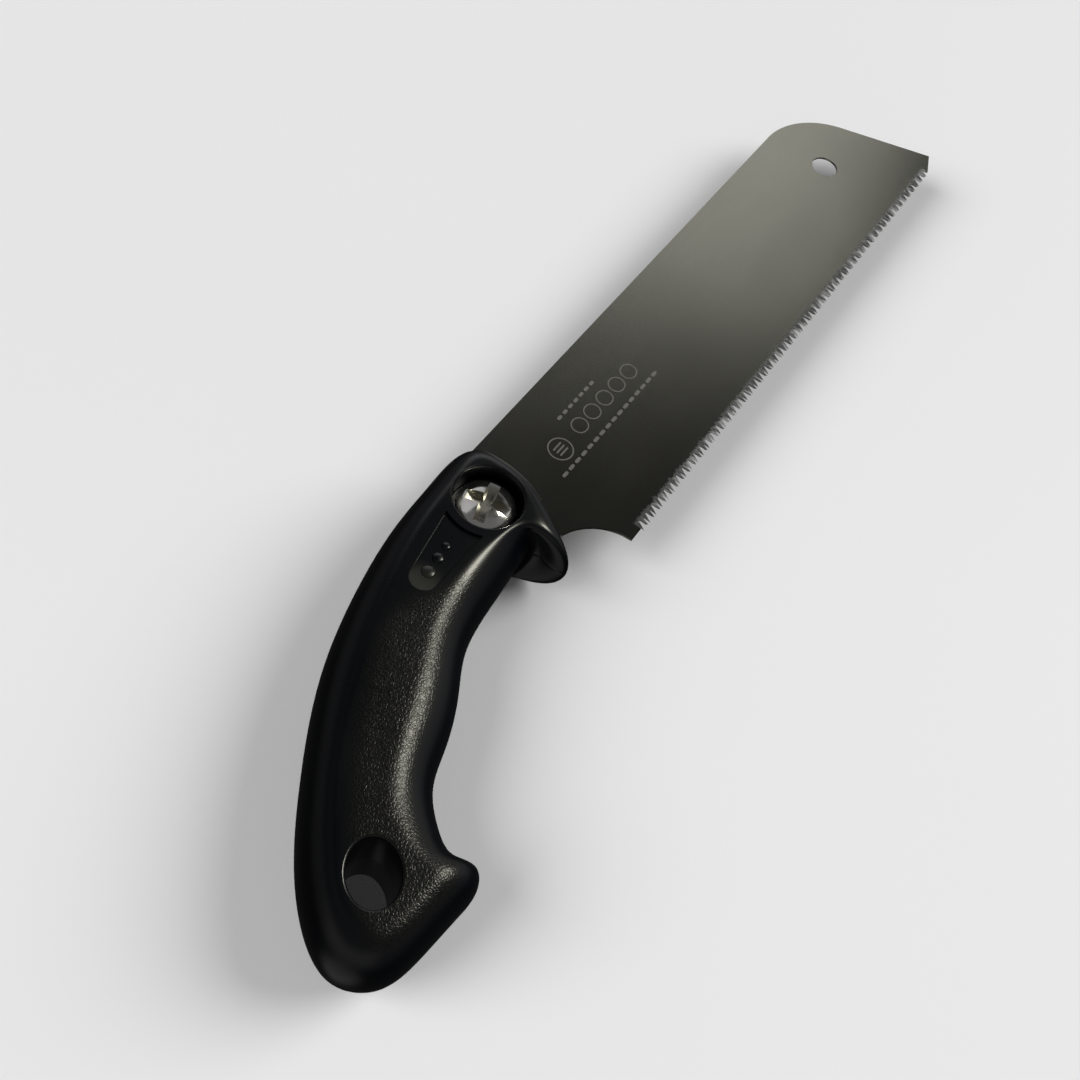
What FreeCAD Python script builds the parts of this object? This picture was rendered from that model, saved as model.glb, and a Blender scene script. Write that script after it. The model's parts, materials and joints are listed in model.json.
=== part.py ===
import FreeCAD, Part
import math
import os

# Pull saw with a curved two-shell handle and an exchangeable blade.
# The saw lies on the rear side of its handle: +X points to the blade's toe, +Y to its spine,
# +Z out of the front side, which carries the clamp screw.
# Everything is drawn about a working point, the first heel tooth on the blade's middle plane,
# and is moved at the end so that the origin is the middle of the footprint, at the base.

Vector = FreeCAD.Vector
UP = Vector(0, 0, 1)

# ---- blade ----
TOOTHED_LENGTH = 175.0
TOOTH_PITCH = 1.5
TOOTH_DEPTH = 2.3
TOOTH_LEAN = 0.45           # how far a tip leans back towards the heel
GULLET_FLAT = 0.3
BLADE_THICKNESS = 0.6
HEEL_WIDTH = 44.3           # spine height over the tooth tips, at the handle
TOE_WIDTH = 45.2            # spine height over the tooth tips, at the toe
HEEL_RUN = 4.6              # plain edge behind the first tooth
HEEL_RISE = 0.8
TOE_STEP = (175.4, 0.6)     # end of the teeth
TOE_CORNER = (182.3, 3.3)
TOE_RAKE_DEG = 23.2         # the front edge leans back towards the spine
TOE_CORNER_RADIUS = 24.6
HANG_HOLE_CENTRE = (150.5, 26.0)
HANG_HOLE_RADIUS = 4.0
HEEL_CURVE = [(-4.9, 3.2), (-8.2, 9.9), (-15.0, 14.3)]

# ---- tang: the part of the blade that is held in the handle ----
SCREW_AXIS = (-25.8, 31.0)
TANG_HALF_WIDTH = 9.5
TANG_REAR_X = -46.0
TANG_NECK_X = -18.0
SPINE_END_X = -18.5
SLOT_HALF_WIDTH = 3.2       # open slot that passes the screw and the locating pin
TANG_GAP = 0.2              # room round the tang in the handle

# ---- handle ----
HALF_THICKNESS = 12.0
RIM_OUTLINE = [             # widest outline, on the middle plane, from the nose along the back
    (-11.4, 36.0), (-12.8, 41.8), (-17.2, 45.1), (-28.0, 45.4), (-42.0, 44.5), (-60.0, 41.0),
    (-80.4, 34.1), (-100.8, 22.7), (-117.1, 10.6), (-126.0, -0.5), (-127.5, -8.2), (-122.8, -15.3),
    (-113.0, -18.0), (-103.0, -19.0), (-97.0, -19.0), (-93.6, -16.4), (-94.6, -11.6), (-92.0, -5.8),
    (-85.4, 0.5), (-75.6, 4.1), (-65.3, 8.6), (-56.5, 13.3), (-46.0, 15.8), (-32.5, 17.2),
    (-23.8, 17.0), (-24.0, 11.5), (-23.0, 7.9), (-20.3, 10.7), (-16.5, 17.0), (-12.2, 26.5),
]
FACE_OUTLINE = [            # edge of the flat side, point for point inside the rim outline
    (-17.5, 35.0), (-18.5, 38.0), (-21.0, 39.0), (-29.0, 38.5), (-43.0, 37.0), (-61.0, 32.5),
    (-78.0, 26.0), (-95.0, 18.0), (-109.0, 8.0), (-117.0, 0.0), (-118.5, -5.5), (-117.0, -9.0),
    (-111.0, -10.5), (-107.0, -10.8), (-104.0, -10.8), (-103.0, -9.3), (-102.8, -5.3), (-100.3, 1.2),
    (-94.4, 7.2), (-82.9, 13.1), (-71.9, 17.5), (-61.8, 22.0), (-49.3, 24.6), (-38.0, 24.4),
    (-29.8, 23.0), (-25.8, 22.0), (-23.8, 20.5), (-21.6, 21.5), (-19.3, 24.5), (-17.8, 29.0),
]
SHOULDER_STEPS = 6          # sections lofted from the rim up to the flat side
CAVITY_INSET = 0.55         # cavity wall, as a share of the way from the rim to the flat side
CAVITY_TOP = 8.2
CAVITY_FRONT_X = -57.0
RIB_THICKNESS = 1.6
RIB_PLACES = [-66.0, -86.0, -102.0]
HANG_SLOT_CENTRE = (-110.1, -1.7)
HANG_SLOT_HALF_LENGTH = 6.6  # on the middle plane, where the slot is narrowest
HANG_SLOT_HALF_WIDTH = 5.0
HANG_SLOT_DRAFT = 0.4
HANG_SLOT_ANGLE_DEG = 38.7
HANG_SLOT_WALL = 2.4
HANG_SLOT_RIM_RADIUS = 0.7

# ---- teardrop panel behind the clamp screw ----
PANEL_DEPTH = 0.7
PANEL_END_CENTRE = (-52.4, 29.6)
PANEL_END_RADIUS = 3.3
PANEL_ARC_RADIUS = 10.8     # concave end, about the screw's axis
PANEL_DOTS = [(-50.5, 29.8, 1.5), (-46.2, 30.3, 1.2), (-42.6, 30.7, 0.9)]
PANEL_DOT_HEIGHT = 0.35

# ---- clamp: plates, pin, screw, washers and nut ----
PLATE_THICKNESS = 1.2
PLATE_HALF_WIDTH = 10.0
PLATE_REAR_X = -45.0
PLATE_FRONT_X = -17.0
PLATE_CORNER_RADIUS = 2.0
PLATE_LIFT = 0.35           # a plate's inner face, over the middle plane
PIN_X = -40.0
PIN_RADIUS = 3.0
PIN_HALF_LENGTH = 5.5
PIN_CHAMFER = 0.4
PIN_END_ROOM = 0.1
PIN_HOLE_GAP = 0.02
PLATE_HOLE_GAP = 0.05
POCKET_OVERLAP = 0.1        # plate pocket and tang slot run into each other by this much
SCREW_RADIUS = 3.0          # M6 shank
SCREW_HOLE_RADIUS = 3.3
HEAD_RADIUS = 7.1
HEAD_RIM_HEIGHT = 0.8
HEAD_DOME_HEIGHT = 2.2
CROSS_LENGTH = 11.2
CROSS_WIDTH = 2.4
CROSS_DEPTH = 1.8
CROSS_TURN_DEG = 14.0
COUNTERBORE_RADIUS = 8.4
COUNTERBORE_FLOOR = 5.1
COUNTERBORE_LIP = 0.5
FLAT_WASHER_RADIUS = 7.0
FLAT_WASHER_BORE_RADIUS = 3.2
FLAT_WASHER_HEIGHT = 1.0
SPRING_WASHER_RADIUS = 5.3
SPRING_WASHER_HEIGHT = 1.5
SPRING_WASHER_BORE_RADIUS = 3.15
SPRING_WASHER_SPLIT = 0.8
SPRING_WASHER_SPLIT_DEG = 60.0
NUT_ACROSS_FLATS = 10.0
NUT_HEIGHT = 5.0
NUT_SEAT_Z = -4.0
NUT_BORE_RADIUS = 3.05
NUT_CORNER_DROP = 0.35      # height of the turned chamfer at the nut's corners
NUT_FACE_SHARE = 0.95       # flat face's diameter, as a share of the width across flats
NUT_POCKET_GAP = 0.1
SCREW_TIP_Z = -10.0
SCREW_TIP_CHAMFER = 0.6

# ---- self-tapping screws that hold the two shells together, driven from the rear ----
SHELL_SCREW_PLACES = [(-52.0, 29.0), (-75.0, 19.5), (-95.5, 9.5), (-119.5, -8.0)]
SHELL_SCREW_RADIUS = 1.45
SHELL_SCREW_HEAD_RADIUS = 2.8
SHELL_SCREW_HEAD_HEIGHT = 1.8
SHELL_SCREW_SEAT_Z = -8.5
SHELL_SCREW_TIP_Z = 7.0
SHELL_SCREW_HEAD_ROOM = 0.3
SHELL_SCREW_HEAD_ROUND = 0.8
SHELL_SCREW_CROSS = (3.2, 0.8, 1.2)     # length, width and depth of the driver recess
BOSS_RADIUS = 3.8
PILOT_GAP = 0.02
PILOT_END_ROOM = 0.3
FREE_HOLE_GAP = 0.2


def cylinder(x, y, radius, low, high):
    return Part.makeCylinder(radius, high - low, Vector(x, y, low), UP)


def block(x_low, x_high, y_low, y_high, z_low, z_high):
    corner = Vector(x_low, y_low, z_low)
    return Part.makeBox(x_high - x_low, y_high - y_low, z_high - z_low, corner)


def prism(edges, low, high):
    """A closed flat wire on z = 0 pushed out from low to high."""
    face = Part.Face(Part.Wire(edges))
    face.translate(Vector(0, 0, low))
    return face.extrude(Vector(0, 0, high - low))


def point(pair, z=0.0):
    return Vector(pair[0], pair[1], z)


def polyline(pairs):
    return [Part.LineSegment(point(a), point(b)).toShape() for a, b in zip(pairs[:-1], pairs[1:])]


def arc(first, middle, last):
    return Part.Arc(point(first), point(middle), point(last)).toShape()


def polar(centre, radius, degrees):
    turn = math.radians(degrees)
    return (centre[0] + radius * math.cos(turn), centre[1] + radius * math.sin(turn))


def mix(first, second, share):
    return tuple(a + (b - a) * share for a, b in zip(first, second))


# ---------------------------------------------------------------- blade

def tooth_points():
    """Slender teeth from the heel to the toe, each leaning back to cut on the pull."""
    count = round(TOOTHED_LENGTH / TOOTH_PITCH)
    pitch = TOOTHED_LENGTH / count
    half_flat = GULLET_FLAT / 2
    points = []
    for index in range(count):
        gullet = index * pitch
        points.append((gullet + half_flat, TOOTH_DEPTH))
        points.append((gullet + pitch / 2 - TOOTH_LEAN, 0.0))
        points.append((gullet + pitch - half_flat, TOOTH_DEPTH))
    return points


def toe_edges(start):
    """Front edge, large corner and the end of the spine. Returns the edges and the spine's start."""
    rake = math.radians(TOE_RAKE_DEG)
    rise = TOE_WIDTH - TOE_CORNER[1]
    meeting = (TOE_CORNER[0] - rise * math.tan(rake), TOE_WIDTH)
    reach = TOE_CORNER_RADIUS * math.tan((math.pi / 2 - rake) / 2)
    arc_start = (meeting[0] + reach * math.sin(rake), meeting[1] - reach * math.cos(rake))
    arc_end = (meeting[0] - reach, meeting[1])
    centre = (arc_end[0], arc_end[1] - TOE_CORNER_RADIUS)
    middle_angle = (math.degrees(rake) + 90) / 2
    arc_middle = polar(centre, TOE_CORNER_RADIUS, middle_angle)
    edges = polyline([start, TOE_CORNER, arc_start])
    edges.append(arc(arc_start, arc_middle, arc_end))
    return edges, arc_end


def blade_outline():
    """One closed wire: teeth, toe, spine, tang with its open slot, neck and heel."""
    axis_y = SCREW_AXIS[1]
    high = axis_y + TANG_HALF_WIDTH
    low = axis_y - TANG_HALF_WIDTH
    slot_high = axis_y + SLOT_HALF_WIDTH
    slot_low = axis_y - SLOT_HALF_WIDTH
    teeth = tooth_points()
    edges = polyline([(-HEEL_RUN, HEEL_RISE), (0.0, HEEL_RISE)] + teeth)
    edges += polyline([teeth[-1], TOE_STEP])
    toe, spine_start = toe_edges(TOE_STEP)
    edges += toe
    edges += polyline([
        spine_start, (SPINE_END_X, HEEL_WIDTH), (SPINE_END_X, high), (TANG_REAR_X, high),
        (TANG_REAR_X, slot_high), (SCREW_AXIS[0], slot_high),
    ])
    slot_end = (SCREW_AXIS[0] + SLOT_HALF_WIDTH, axis_y)
    edges.append(arc((SCREW_AXIS[0], slot_high), slot_end, (SCREW_AXIS[0], slot_low)))
    edges += polyline([
        (SCREW_AXIS[0], slot_low), (TANG_REAR_X, slot_low), (TANG_REAR_X, low),
        (TANG_NECK_X, low), HEEL_CURVE[2],
    ])
    edges.append(arc(HEEL_CURVE[2], HEEL_CURVE[1], HEEL_CURVE[0]))
    edges += polyline([HEEL_CURVE[0], (-HEEL_RUN, HEEL_RISE)])
    return edges


def saw_blade():
    half = BLADE_THICKNESS / 2
    hole = cylinder(HANG_HOLE_CENTRE[0], HANG_HOLE_CENTRE[1], HANG_HOLE_RADIUS, -1, 1)
    return prism(blade_outline(), -half, half).cut(hole)


# ---------------------------------------------------------------- handle shells

def smooth_loop(points, height):
    """A closed curve through the points, with the same timing for every section of the handle."""
    steps = [0.0]
    for first, second in zip(RIM_OUTLINE, RIM_OUTLINE[1:] + RIM_OUTLINE[:1]):
        steps.append(steps[-1] + math.sqrt(math.dist(first, second)))
    curve = Part.BSplineCurve()
    curve.interpolate(Points=[point(p, height) for p in points], PeriodicFlag=True, Parameters=steps)
    return Part.Wire(curve.toShape())


def shoulder_section(angle_deg):
    """A section on the rounded shoulder: 0 is the rim on the middle plane, 90 the flat side."""
    share = 1 - math.cos(math.radians(angle_deg))
    height = HALF_THICKNESS * math.sin(math.radians(angle_deg))
    points = [mix(rim, face, share) for rim, face in zip(RIM_OUTLINE, FACE_OUTLINE)]
    return smooth_loop(points, height)


def outer_half():
    """Upper half of the handle's outer form, from the middle plane to the flat side."""
    angles = [90.0 * step / (SHOULDER_STEPS - 1) for step in range(SHOULDER_STEPS)]
    return Part.makeLoft([shoulder_section(angle) for angle in angles], True, False)


def slot_ring(grow, height):
    """The hang slot's oval, grown all round, at one height."""
    ellipse = Part.Ellipse(Vector(0, 0, 0), HANG_SLOT_HALF_LENGTH + grow, HANG_SLOT_HALF_WIDTH + grow)
    ring = Part.Wire(ellipse.toShape())
    ring.rotate(Vector(0, 0, 0), UP, HANG_SLOT_ANGLE_DEG)
    ring.translate(point(HANG_SLOT_CENTRE, height))
    return ring


def hang_slot():
    """Through hole for hanging: it widens towards the flat side and ends in a rounded lip."""
    lip_start = HALF_THICKNESS - HANG_SLOT_RIM_RADIUS
    draft = Part.makeLoft([slot_ring(0, 0), slot_ring(HANG_SLOT_DRAFT, lip_start)], True, True)
    lip = []
    for angle in (0, 30, 60, 85):
        turn = math.radians(angle)
        flare = HANG_SLOT_DRAFT + HANG_SLOT_RIM_RADIUS * (1 - math.cos(turn))
        lip.append(slot_ring(flare, lip_start + HANG_SLOT_RIM_RADIUS * math.sin(turn)))
    lip.append(slot_ring(HANG_SLOT_DRAFT + HANG_SLOT_RIM_RADIUS, HALF_THICKNESS + 1))
    return draft.fuse(Part.makeLoft(lip, True, True))


def cavity():
    """Hollow of one shell behind the tang, less the ribs, the screw bosses and the hang slot's wall."""
    points = [mix(rim, face, CAVITY_INSET) for rim, face in zip(RIM_OUTLINE, FACE_OUTLINE)]
    loop = smooth_loop(points, 0)
    hollow = Part.Face(loop).extrude(Vector(0, 0, CAVITY_TOP))
    hollow = hollow.common(block(-140, CAVITY_FRONT_X, -30, 60, -1, CAVITY_TOP))
    for x in RIB_PLACES:
        half = RIB_THICKNESS / 2
        hollow = hollow.cut(block(x - half, x + half, -30, 60, -1, CAVITY_TOP + 1))
    for x, y in SHELL_SCREW_PLACES:
        hollow = hollow.cut(cylinder(x, y, BOSS_RADIUS, -1, CAVITY_TOP + 1))
    sleeve_ends = [slot_ring(HANG_SLOT_WALL, -1), slot_ring(HANG_SLOT_WALL, CAVITY_TOP + 1)]
    sleeve = Part.makeLoft(sleeve_ends, True, True)
    return hollow.cut(sleeve)


def tang_pocket():
    """Half of the space that holds the tang and one clamp plate. It is open at the nose."""
    gap = TANG_GAP
    high = SCREW_AXIS[1] + TANG_HALF_WIDTH + gap
    low = SCREW_AXIS[1] - TANG_HALF_WIDTH - gap
    outline = polyline([
        (TANG_REAR_X - gap, low), (TANG_REAR_X - gap, high), (SPINE_END_X - gap, high),
        (SPINE_END_X - gap, HEEL_WIDTH + gap), (0.0, HEEL_WIDTH + gap), (0.0, 0.0),
        (HEEL_CURVE[2][0] - gap, HEEL_CURVE[2][1] - 4 * gap),
        (HEEL_CURVE[2][0] - gap, HEEL_CURVE[2][1] - gap),
        (TANG_NECK_X - gap, low), (TANG_REAR_X - gap, low),
    ])
    slot = prism(outline, -1, PLATE_LIFT)
    return slot.fuse(clamp_plate_blank(gap, PLATE_LIFT - POCKET_OVERLAP, PLATE_LIFT + PLATE_THICKNESS))


def bare_shell():
    """What the two shells have in common, drawn as the upper one."""
    shell = outer_half().cut(cavity())
    shell = shell.cut(hang_slot())
    shell = shell.cut(tang_pocket())
    shell = shell.cut(cylinder(SCREW_AXIS[0], SCREW_AXIS[1], SCREW_HOLE_RADIUS, -1, HALF_THICKNESS + 1))
    pin_hole = cylinder(PIN_X, SCREW_AXIS[1], PIN_RADIUS + PIN_HOLE_GAP, -1,
                        PIN_HALF_LENGTH + PIN_END_ROOM)
    return shell.cut(pin_hole)


def counterbore():
    """Deep seat of the clamp screw's head, with a small lip at its mouth."""
    x, y = SCREW_AXIS
    mouth = HALF_THICKNESS + 1
    seat = cylinder(x, y, COUNTERBORE_RADIUS, COUNTERBORE_FLOOR, mouth)
    lip_top = COUNTERBORE_RADIUS + COUNTERBORE_LIP + 1
    lip = Part.makeCone(COUNTERBORE_RADIUS, lip_top, COUNTERBORE_LIP + 1,
                        Vector(x, y, HALF_THICKNESS - COUNTERBORE_LIP), UP)
    return seat.fuse(lip)


def panel_recess():
    """Shallow teardrop panel, less its three raised dots."""
    upper = polar(SCREW_AXIS, PANEL_ARC_RADIUS, 153)
    lower = polar(SCREW_AXIS, PANEL_ARC_RADIUS, 208)
    end_upper = polar(PANEL_END_CENTRE, PANEL_END_RADIUS, 103)
    end_lower = polar(PANEL_END_CENTRE, PANEL_END_RADIUS, 262)
    edges = [
        arc(upper, polar(SCREW_AXIS, PANEL_ARC_RADIUS, 180), lower),
        *polyline([lower, end_lower]),
        arc(end_lower, polar(PANEL_END_CENTRE, PANEL_END_RADIUS, 180), end_upper),
        *polyline([end_upper, upper]),
    ]
    floor = HALF_THICKNESS - PANEL_DEPTH
    recess = prism(edges, floor, HALF_THICKNESS + 1)
    for x, y, radius in PANEL_DOTS:
        recess = recess.cut(cylinder(x, y, radius, floor - 1, floor + PANEL_DOT_HEIGHT))
    return recess


def front_handle_shell():
    shell = bare_shell().cut(counterbore()).cut(panel_recess())
    for x, y in SHELL_SCREW_PLACES:
        pilot = cylinder(x, y, SHELL_SCREW_RADIUS + PILOT_GAP, -1, SHELL_SCREW_TIP_Z + PILOT_END_ROOM)
        shell = shell.cut(pilot)
    return shell


def hexagon_prism(across_flats, low, high):
    corner = across_flats / math.sqrt(3)
    corners = [polar(SCREW_AXIS, corner, 60 * turn) for turn in range(7)]
    corners[-1] = corners[0]
    return prism(polyline(corners), low, high)


def rear_handle_shell():
    shell = bare_shell().mirror(Vector(0, 0, 0), UP)
    bottom = -HALF_THICKNESS - 1
    shell = shell.cut(hexagon_prism(NUT_ACROSS_FLATS + 2 * NUT_POCKET_GAP, bottom, NUT_SEAT_Z))
    for x, y in SHELL_SCREW_PLACES:
        shell = shell.cut(cylinder(x, y, SHELL_SCREW_RADIUS + FREE_HOLE_GAP, bottom, 1))
        head_room = SHELL_SCREW_HEAD_RADIUS + SHELL_SCREW_HEAD_ROOM
        shell = shell.cut(cylinder(x, y, head_room, bottom, SHELL_SCREW_SEAT_Z))
    return shell


# ---------------------------------------------------------------- clamp

def clamp_plate_blank(grow, low, high):
    """Rectangle with rounded corners, around the screw and the locating pin."""
    x_low = PLATE_REAR_X - grow
    x_high = PLATE_FRONT_X + grow
    y_low = SCREW_AXIS[1] - PLATE_HALF_WIDTH - grow
    y_high = SCREW_AXIS[1] + PLATE_HALF_WIDTH + grow
    plate = block(x_low, x_high, y_low, y_high, low, high)
    upright = [edge for edge in plate.Edges if abs(edge.tangentAt(edge.FirstParameter).z) > 0.9]
    return plate.makeFillet(PLATE_CORNER_RADIUS, upright)


def front_clamp_plate():
    plate = clamp_plate_blank(0, PLATE_LIFT, PLATE_LIFT + PLATE_THICKNESS)
    plate = plate.cut(cylinder(SCREW_AXIS[0], SCREW_AXIS[1], SCREW_HOLE_RADIUS, -5, 5))
    return plate.cut(cylinder(PIN_X, SCREW_AXIS[1], PIN_RADIUS + PLATE_HOLE_GAP, -5, 5))


def rear_clamp_plate():
    return front_clamp_plate().mirror(Vector(0, 0, 0), UP)


def locating_pin():
    """Dowel in both shells. The tang's slot slides on it, so the blade can't swing on the screw."""
    pin = cylinder(PIN_X, SCREW_AXIS[1], PIN_RADIUS, -PIN_HALF_LENGTH, PIN_HALF_LENGTH)
    return pin.makeChamfer(PIN_CHAMFER, [edge for edge in pin.Edges if edge.Closed])


def cross_recess(centre, top, length, width, depth):
    """Cross-shaped driver recess."""
    x, y = centre
    first = block(x - length / 2, x + length / 2, y - width / 2, y + width / 2, top - depth, top + 1)
    second = block(x - width / 2, x + width / 2, y - length / 2, y + length / 2, top - depth, top + 1)
    return first.fuse(second)


def dome(centre, radius, low, height):
    """Spherical cap of the given foot radius and height."""
    ball = (radius ** 2 + height ** 2) / (2 * height)
    sphere = Part.makeSphere(ball, Vector(centre[0], centre[1], low + height - ball))
    return sphere.common(cylinder(centre[0], centre[1], radius + 1, low, low + height + 1))


def head_seat():
    """Underside of the clamp screw's head."""
    return COUNTERBORE_FLOOR + FLAT_WASHER_HEIGHT + SPRING_WASHER_HEIGHT


def clamp_screw():
    x, y = SCREW_AXIS
    seat = head_seat()
    rim = seat + HEAD_RIM_HEIGHT
    head = cylinder(x, y, HEAD_RADIUS, seat, rim)
    head = head.fuse(dome(SCREW_AXIS, HEAD_RADIUS, rim, HEAD_DOME_HEIGHT))
    top = rim + HEAD_DOME_HEIGHT
    recess = cross_recess(SCREW_AXIS, top, CROSS_LENGTH, CROSS_WIDTH, CROSS_DEPTH)
    recess.rotate(point(SCREW_AXIS), UP, CROSS_TURN_DEG)
    head = head.cut(recess)
    shank = cylinder(x, y, SCREW_RADIUS, SCREW_TIP_Z, seat)
    tip = [edge for edge in shank.Edges if edge.Closed and edge.BoundBox.ZMax < SCREW_TIP_Z + 0.1]
    return head.fuse(shank.makeChamfer(SCREW_TIP_CHAMFER, tip)).removeSplitter()


def flat_washer():
    x, y = SCREW_AXIS
    low = COUNTERBORE_FLOOR
    ring = cylinder(x, y, FLAT_WASHER_RADIUS, low, low + FLAT_WASHER_HEIGHT)
    return ring.cut(cylinder(x, y, FLAT_WASHER_BORE_RADIUS, low - 1, low + FLAT_WASHER_HEIGHT + 1))


def spring_washer():
    x, y = SCREW_AXIS
    low = COUNTERBORE_FLOOR + FLAT_WASHER_HEIGHT
    high = low + SPRING_WASHER_HEIGHT
    ring = cylinder(x, y, SPRING_WASHER_RADIUS, low, high)
    ring = ring.cut(cylinder(x, y, SPRING_WASHER_BORE_RADIUS, low - 1, high + 1))
    split = block(x, x + 10, y - SPRING_WASHER_SPLIT / 2, y + SPRING_WASHER_SPLIT / 2, low - 1, high + 1)
    split.rotate(point(SCREW_AXIS), UP, SPRING_WASHER_SPLIT_DEG)
    return ring.cut(split)


def clamp_nut():
    """Hexagon nut whose corners are turned to a chamfer on both faces."""
    x, y = SCREW_AXIS
    low = NUT_SEAT_Z - NUT_HEIGHT
    nut = hexagon_prism(NUT_ACROSS_FLATS, low, NUT_SEAT_Z)
    flat_radius = NUT_FACE_SHARE * NUT_ACROSS_FLATS / 2
    corner_radius = NUT_ACROSS_FLATS / math.sqrt(3)
    slope = (corner_radius - flat_radius) / NUT_CORNER_DROP
    middle_radius = flat_radius + slope * NUT_HEIGHT / 2
    half = NUT_HEIGHT / 2
    lower = Part.makeCone(flat_radius, middle_radius, half, Vector(x, y, low), UP)
    upper = Part.makeCone(middle_radius, flat_radius, half, Vector(x, y, low + half), UP)
    nut = nut.common(lower.fuse(upper))
    return nut.cut(cylinder(x, y, NUT_BORE_RADIUS, low - 1, NUT_SEAT_Z + 1))


# ---------------------------------------------------------------- shell screws

def shell_screw(place):
    """Pan-head self-tapping screw. Its thread is drawn as a plain shank."""
    x, y = place
    seat = SHELL_SCREW_SEAT_Z
    foot = seat - SHELL_SCREW_HEAD_HEIGHT
    head = cylinder(x, y, SHELL_SCREW_HEAD_RADIUS, foot, seat)
    outer = [edge for edge in head.Edges if edge.Closed and edge.BoundBox.ZMax < foot + 0.1]
    head = head.makeFillet(SHELL_SCREW_HEAD_ROUND, outer)
    cross = cross_recess(place, 0, *SHELL_SCREW_CROSS).mirror(Vector(0, 0, 0), UP)
    cross.translate(Vector(0, 0, foot))
    shank = cylinder(x, y, SHELL_SCREW_RADIUS, seat, SHELL_SCREW_TIP_Z)
    return head.cut(cross).fuse(shank)


def shell_screws():
    return Part.makeCompound([shell_screw(place) for place in SHELL_SCREW_PLACES])


# ---------------------------------------------------------------- assembly

NODES = {
    "saw_blade": saw_blade,
    "front_handle_shell": front_handle_shell,
    "rear_handle_shell": rear_handle_shell,
    "front_clamp_plate": front_clamp_plate,
    "rear_clamp_plate": rear_clamp_plate,
    "locating_pin": locating_pin,
    "clamp_screw": clamp_screw,
    "flat_washer": flat_washer,
    "spring_washer": spring_washer,
    "clamp_nut": clamp_nut,
    "shell_screws": shell_screws,
}


def main():
    os.makedirs("parts", exist_ok=True)
    shapes = {name: make() for name, make in NODES.items()}
    box = Part.makeCompound(list(shapes.values())).optimalBoundingBox(False, False)
    shift = Vector(-box.Center.x, -box.Center.y, HALF_THICKNESS)
    for name, shape in shapes.items():
        shape.translate(shift)
        shape.exportStep(f"parts/{name}.step")
        print(f"{name:20s} valid {shape.isValid()}  solids {len(shape.Solids)}  volume {shape.Volume:9.1f}")
    print(f"size {box.XLength:.2f} x {box.YLength:.2f} x {box.ZLength:.2f}, lowest point {box.ZMin:.2f}")
    print(f"shift {shift.x:.3f} {shift.y:.3f} {shift.z:.3f}")


main()
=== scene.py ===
import json
import math

import bmesh
import bpy
import numpy as np
from mathutils import Matrix, Vector

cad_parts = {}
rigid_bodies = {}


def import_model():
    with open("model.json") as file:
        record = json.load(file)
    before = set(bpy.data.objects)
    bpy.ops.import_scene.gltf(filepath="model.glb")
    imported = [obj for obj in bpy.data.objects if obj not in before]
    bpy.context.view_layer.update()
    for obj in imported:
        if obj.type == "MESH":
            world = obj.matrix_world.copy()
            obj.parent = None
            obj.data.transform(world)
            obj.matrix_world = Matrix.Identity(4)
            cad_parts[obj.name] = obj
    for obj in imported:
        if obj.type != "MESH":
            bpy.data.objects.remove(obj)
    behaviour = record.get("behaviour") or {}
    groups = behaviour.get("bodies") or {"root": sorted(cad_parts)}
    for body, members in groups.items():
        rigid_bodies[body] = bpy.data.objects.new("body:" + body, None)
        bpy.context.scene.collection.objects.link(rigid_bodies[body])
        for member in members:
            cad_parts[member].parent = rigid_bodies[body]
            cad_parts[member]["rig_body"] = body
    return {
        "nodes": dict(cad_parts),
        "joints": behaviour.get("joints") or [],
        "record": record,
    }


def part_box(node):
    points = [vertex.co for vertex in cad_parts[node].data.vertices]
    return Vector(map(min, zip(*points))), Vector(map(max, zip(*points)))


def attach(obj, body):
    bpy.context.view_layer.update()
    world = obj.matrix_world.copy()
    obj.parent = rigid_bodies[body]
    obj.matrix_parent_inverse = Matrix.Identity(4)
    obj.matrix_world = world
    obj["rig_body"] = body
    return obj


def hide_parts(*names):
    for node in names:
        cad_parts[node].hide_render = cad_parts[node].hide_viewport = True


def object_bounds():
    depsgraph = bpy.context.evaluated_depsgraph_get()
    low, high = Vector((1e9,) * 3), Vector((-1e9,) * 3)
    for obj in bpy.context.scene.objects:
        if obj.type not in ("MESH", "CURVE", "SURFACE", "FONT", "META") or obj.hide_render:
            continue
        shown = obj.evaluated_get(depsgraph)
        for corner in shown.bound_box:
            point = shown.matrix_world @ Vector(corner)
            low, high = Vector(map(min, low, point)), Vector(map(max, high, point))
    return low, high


# Looks of a pull saw: a satin steel blade with ground teeth, held by a nickel-plated cross-head
# screw in a black plastic handle whose flat sides have a leather grain.
# Lengths below are in millimetres in the part's drawing frame: x = 0, y = 0 at the first heel tooth
# on the blade's middle plane, x towards the toe, y towards the spine, z towards the front.

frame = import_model()
CAD_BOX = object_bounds()
MM = 0.001
SMOOTH_ANGLE_DEG = 35

# ---- places taken from the frame ----
JOINTS = {joint["name"]: joint for joint in frame["joints"]}
MOUNTS = {mount["name"]: Vector(mount["pos_m"]) for mount in frame["record"]["mounts"]}
SCREW_POINT = Vector(JOINTS["clamp_screw_turn"]["pos_m"])
SCREW_AXIS = (-25.8, 31.0)
DRAWING_ORIGIN = SCREW_POINT - MM * Vector((SCREW_AXIS[0], SCREW_AXIS[1], 0))


def place(x, y, z=0.0):
    """A point of the drawing frame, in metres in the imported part's frame."""
    return DRAWING_ORIGIN + MM * Vector((x, y, z))


def drawn(point):
    """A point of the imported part's frame, as x and y in the drawing frame."""
    local = (point - DRAWING_ORIGIN) / MM
    return (local.x, local.y)


HANG_HOLE_CENTRE = drawn(MOUNTS["blade_hang_hole"])
HANG_SLOT_CENTRE = drawn(MOUNTS["handle_hang_slot"])
HALF_BLADE = (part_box("saw_blade")[1].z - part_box("saw_blade")[0].z) / MM / 2
HALF_HANDLE = (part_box("front_handle_shell")[1].z - SCREW_POINT.z) / MM

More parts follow.
